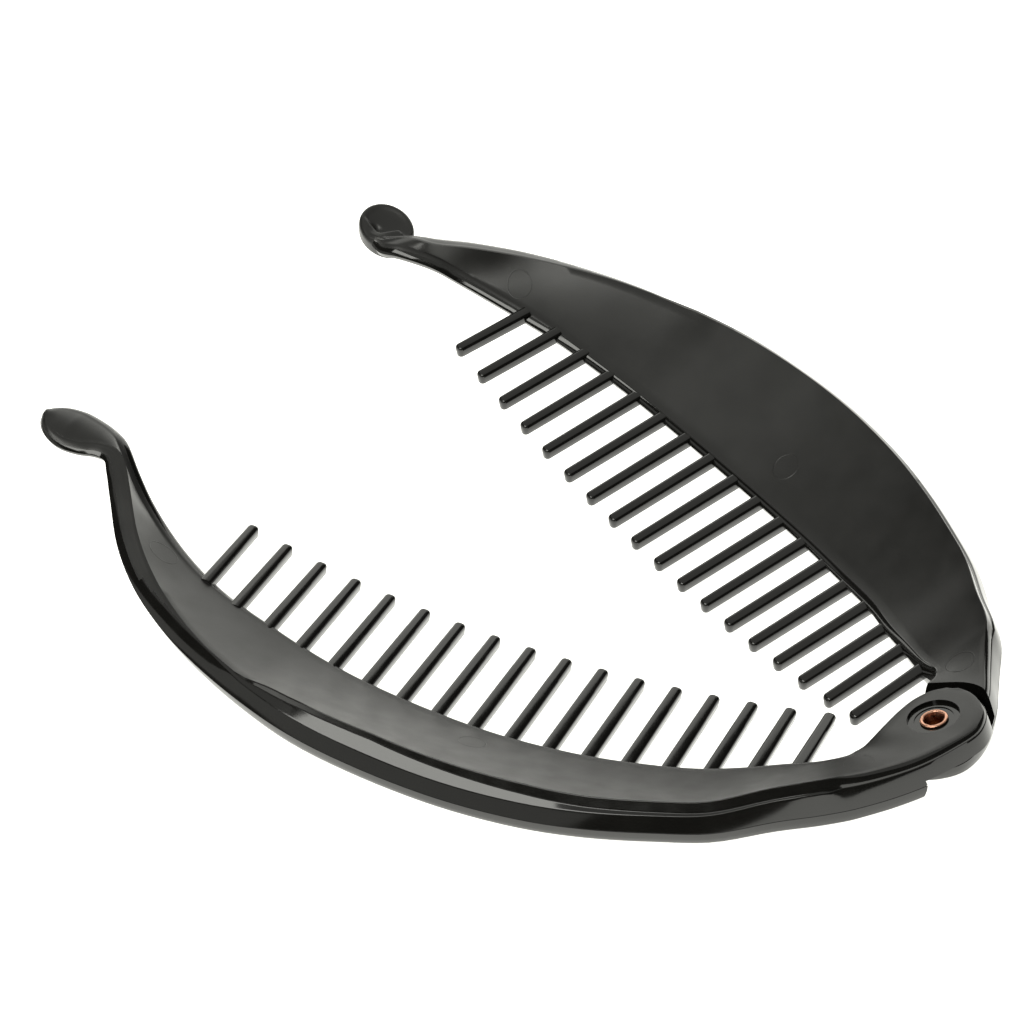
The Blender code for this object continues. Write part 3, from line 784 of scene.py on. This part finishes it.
def thumb_rest():
    """The round rest under the end of the back arm."""
    clear_selection()
    bpy.ops.mesh.primitive_cylinder_add(vertices=64, radius=0.5, depth=1.0, location=(0, 0, 0))
    rest = started("back_thumb_rest")
    rest.data.transform(Matrix.Diagonal((*[s * MM for s in REST_SIZE], 1.0)))
    half_high = REST_SIZE[2] / 2 * MM
    bpy.ops.object.mode_set(mode="EDIT")
    pick(rest, "EDGE", lambda e: not is_upright(e))
    bpy.ops.mesh.bevel(offset=REST_ROLL * MM, segments=6)
    pick(rest, "FACE", lambda f: f.calc_center_median().z > half_high - 0.001 * MM and len(f.verts) > 4)
    for k in range(REST_RINGS, 0, -1):
        shrink = (k - 0.9) / k if k > 1 else 0.3
        bpy.ops.mesh.extrude_region_move()
        bpy.ops.transform.resize(value=(shrink, shrink, 1.0), center_override=(0, 0, half_high))
    bpy.ops.mesh.select_mode(type="VERT")
    bpy.ops.object.mode_set(mode="OBJECT")
    for vert in rest.data.vertices:
        if vert.co.z > 0.0:
            vert.co.z += rest_relief(vert.co.x / MM, vert.co.y / MM) * vert.co.z / half_high * MM
    turn = Matrix.Rotation(math.radians(-REST_TILT), 4, "Y")
    rest.data.transform(Matrix.Translation(Vector(REST_PLACE) * MM) @ turn)
    rest.data.materials.append(satin)
    return rest


settle(thumb_rest(), "back", smooth=50.0)

# %% [markdown]
# ## Putting the bands in place
# The bands were kept in their own drawings until now, because the pin marks were measured on
# them. Now each goes to its place, rides on its body and takes the place of the plain solid.

# %% Settle the two bands
for half in SIDE:
    settle(bands[half], half, smooth=38.0)
    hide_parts("comb_" + half)

# %% [markdown]
# ## The eyelet
# The eyelet is a short tube whose two ends were rolled over when the clip was put together. A
# turned part like this is a profile spun about its axis. We bend a ring of points to the profile,
# spin it once round the hinge axis and merge the seam. The rolled lip splits very slightly as it
# flares, which shows as shallow waves round the hole.

# %% Spin the eyelet
LIP_RADIUS, CURL_WIDE, CURL_HIGH = 1.62, 0.26, 0.17
UPPER_LIP, LOWER_LIP, HOLE_RADIUS = 0.2, -4.4, 1.22


def rolled(height, way):
    """The curl of one lip, from the bore over the crown to the seat."""
    curl = []
    for a in range(-100, 171, 30):
        turn = math.radians(a)
        curl.append((LIP_RADIUS + CURL_WIDE * math.sin(turn), height + way * CURL_HIGH * math.cos(turn)))
    return curl


def eyelet():
    """The whole eyelet: its profile goes up the hole, over one lip, down the barrel and back."""
    profile = [(HOLE_RADIUS, -4.0), (HOLE_RADIUS, -0.5), (1.28, -0.1)]
    profile += rolled(UPPER_LIP, 1.0)
    profile += [(1.52, 0.04), (1.52, -4.24)]
    profile += reversed(rolled(LOWER_LIP, -1.0))
    clear_selection()
    bpy.ops.mesh.primitive_circle_add(vertices=len(profile), radius=0.001, location=(0, 0, 0))
    piece = started("copper_eyelet")
    place_points(piece, [(r, 0.0, z) for r, z in profile])
    bpy.ops.object.mode_set(mode="EDIT")
    bpy.ops.mesh.select_all(action="SELECT")
    bpy.ops.mesh.spin(steps=72, angle=math.tau, center=(0, 0, 0), axis=(0, 0, 1))
    bpy.ops.object.mode_set(mode="OBJECT")
    for vert in piece.data.vertices:
        far = math.hypot(vert.co.x, vert.co.y) / MM
        if far < 1.5 and vert.co.z > -0.6 * MM:
            angle = math.atan2(vert.co.y, vert.co.x)
            wave = 1.0 + 0.022 * math.cos(6 * angle + 0.4) + 0.012 * math.sin(11 * angle)
            vert.co.x *= wave
            vert.co.y *= wave
    piece.data.transform(lie @ Matrix.Rotation(AXIS_LEAN, 4, "Y"))
    close_up(piece)
    piece.data.materials.append(copper)
    bpy.ops.object.shade_smooth_by_angle(angle=math.radians(50.0))
    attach(piece, "front_half")
    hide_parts("eyelet")
    return piece


eyelet_piece = eyelet()
print("eyelet has", len(eyelet_piece.data.polygons), "faces")

# %% [markdown]
# ## Floor, light and camera
# The clip lies on a plain white table. A wide soft light hangs over and behind it, so the satin
# faces catch a grey sheen. A softbox high on the left is what the polished ledge mirrors as a
# light stripe. The rest of the room near the camera is kept dark, with only a dim curtain at
# the left, so the riser and the walls read as black, while their lowest part mirrors the white
# table. The camera is a long lens at the photograph's angle to the clip.

# %% Set the stage
LIGHT_TINT = (1.0, 1.0, 0.94)
clear_selection()
bpy.ops.mesh.primitive_plane_add(size=6.0, location=(0, 0, -0.0002))
floor = started("floor")
paper, nodes, links, shader = shader_of("white_table")
grain = noise(nodes, links, 30.0, 2.0)
links.new(between(nodes, links, grain, 0.55, 0.65), shader.inputs["Roughness"])
shader.inputs["Base Color"].default_value = (0.9, 0.9, 0.89, 1.0)
shader.inputs["Emission Color"].default_value = (*LIGHT_TINT, 1.0)
shader.inputs["Emission Strength"].default_value = 1.2
floor.data.materials.append(paper)

world = bpy.data.worlds.new("studio")
bpy.context.scene.world = world
world.use_nodes = True
world.node_tree.nodes["Background"].inputs["Color"].default_value = (1.0, 1.0, 1.0, 1.0)
world.node_tree.nodes["Background"].inputs["Strength"].default_value = 0.04


def soft_light(name, place, aim, size, power):
    """A rectangular softbox at a place in metres, turned to what it lights."""
    data = bpy.data.lights.new(name, "AREA")
    data.shape = "RECTANGLE"
    data.size, data.size_y = size
    data.energy = power
    data.color = LIGHT_TINT
    lamp = bpy.data.objects.new(name, data)
    bpy.context.scene.collection.objects.link(lamp)
    lamp.location = place
    lamp.rotation_euler = (Vector(aim) - Vector(place)).to_track_quat("-Z", "Y").to_euler()
    return lamp


FAR_SIDE = Vector((0.69, -0.73, 0.0))
LEFT_SIDE = Vector((0.73, 0.69, 0.0))
NEAR_LEFT = LEFT_SIDE * 0.74 - FAR_SIDE * 0.67
soft_light("ceiling", FAR_SIDE * 0.45 + Vector((0, 0, 1.3)), FAR_SIDE * 0.45, (2.2, 1.9), 7.0)
soft_light("far_softbox", FAR_SIDE * 1.5 - LEFT_SIDE * 0.2 + Vector((0, 0, 0.55)), (0.0, 0.0, 0.0),
           (2.0, 1.1), 11.0)
soft_light("left_softbox", NEAR_LEFT * 0.64 + Vector((0, 0, 0.84)), (0.0, 0.0, 0.0), (0.85, 0.42), 6.8)
soft_light("grey_curtain", LEFT_SIDE * 1.05 - FAR_SIDE * 0.45 + Vector((0, 0, 0.37)), (0.0, 0.0, 0.0),
           (2.3, 0.4), 1.7)

CAMERA_RIGHT = (-0.759307, -0.650221, -0.025809)
CAMERA_UP = (0.434262, -0.535857, 0.724067)
CAMERA_PLACE = (-138.03, 233.16, 292.32)
right, up = Vector(CAMERA_RIGHT).normalized(), Vector(CAMERA_UP).normalized()
back = right.cross(up).normalized()
turn = Matrix((right, up, back)).transposed().to_4x4()
lens = bpy.data.cameras.new("camera")
lens.sensor_width = 36.0
lens.lens = 107.6
lens.clip_start, lens.clip_end = 0.01, 20.0
camera = bpy.data.objects.new("camera", lens)
bpy.context.scene.collection.objects.link(camera)
camera.matrix_world = lie @ Matrix.Translation(Vector(CAMERA_PLACE) * MM) @ turn
bpy.context.scene.camera = camera
bpy.context.scene.view_settings.view_transform = "Standard"
print("camera is", round(camera.location.length, 3), "m from the clip's middle")
